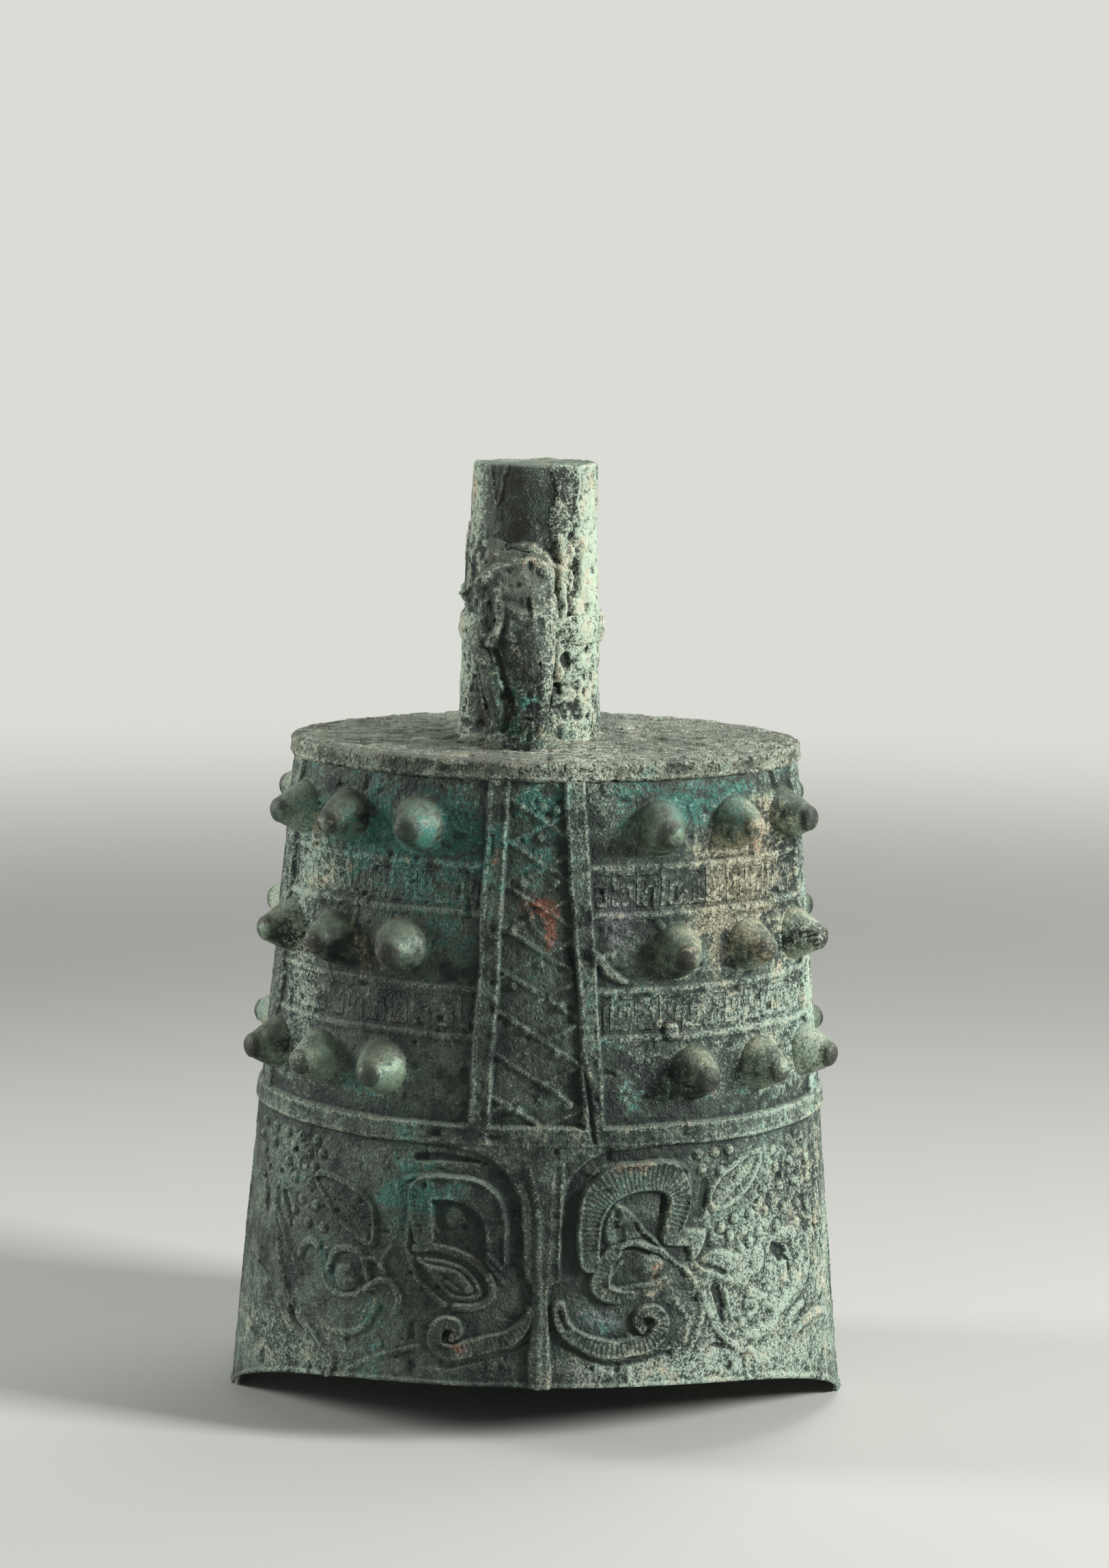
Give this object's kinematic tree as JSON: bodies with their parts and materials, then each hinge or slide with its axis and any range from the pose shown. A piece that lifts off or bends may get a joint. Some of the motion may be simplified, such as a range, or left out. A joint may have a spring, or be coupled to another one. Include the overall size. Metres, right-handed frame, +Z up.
{
  "type": "bronze bell",
  "caption": "Almond-plan ritual bell with arched mouth, conical bosses in rows, beast-mask relief, and a hollow shank handle with ring and hanging loop.",
  "frame": {"origin": "on the standing plane, midway between the two corner tips of the mouth", "axes": "+Z up along the bell, +X to the right along the mouth's long way as the front is seen, -Y out of the front face that carries the hanging loop"},
  "size_m": [0.26, 0.1944, 0.395],
  "materials": {
    "wall_bronze": "corroded bronze, dark green with pale crust on raised work",
    "crown_bronze": "corroded bronze under pale earthy crust",
    "shank_bronze": "pitted grey-green crust",
    "ring_bronze": "pitted grey-green crust, worn at the edge",
    "loop_bronze": "heavy pitted green crust over relief",
    "boss_bronze": "smooth dark green-black with worn tips",
    "core_clay": "dull baked clay"
  },
  "bodies": {
    "root": {"bell_wall": "wall_bronze", "crown_plate": "crown_bronze", "shank_handle": "shank_bronze", "shank_clay_core": "core_clay", "shank_ring": "ring_bronze", "hanging_loop": "loop_bronze", "boss_front_left_lower_inner": "boss_bronze", "boss_back_left_lower_inner": "boss_bronze", "boss_front_right_lower_inner": "boss_bronze", "boss_back_right_lower_inner": "boss_bronze", "boss_front_left_lower_middle": "boss_bronze", "boss_back_left_lower_middle": "boss_bronze", "boss_front_right_lower_middle": "boss_bronze", "boss_back_right_lower_middle": "boss_bronze", "boss_front_left_lower_outer": "boss_bronze", "boss_back_left_lower_outer": "boss_bronze", "boss_front_right_lower_outer": "boss_bronze", "boss_back_right_lower_outer": "boss_bronze", "boss_front_left_middle_inner": "boss_bronze", "boss_back_left_middle_inner": "boss_bronze", "boss_front_right_middle_inner": "boss_bronze", "boss_back_right_middle_inner": "boss_bronze", "boss_front_left_middle_middle": "boss_bronze", "boss_back_left_middle_middle": "boss_bronze", "boss_front_right_middle_middle": "boss_bronze", "boss_back_right_middle_middle": "boss_bronze", "boss_front_left_middle_outer": "boss_bronze", "boss_back_left_middle_outer": "boss_bronze", "boss_front_right_middle_outer": "boss_bronze", "boss_back_right_middle_outer": "boss_bronze", "boss_front_left_upper_inner": "boss_bronze", "boss_back_left_upper_inner": "boss_bronze", "boss_front_right_upper_inner": "boss_bronze", "boss_back_right_upper_inner": "boss_bronze", "boss_front_left_upper_middle": "boss_bronze", "boss_back_left_upper_middle": "boss_bronze", "boss_front_right_upper_middle": "boss_bronze", "boss_back_right_upper_middle": "boss_bronze", "boss_front_left_upper_outer": "boss_bronze", "boss_back_left_upper_outer": "boss_bronze", "boss_front_right_upper_outer": "boss_bronze", "boss_back_right_upper_outer": "boss_bronze"}
  },
  "joints": []
}
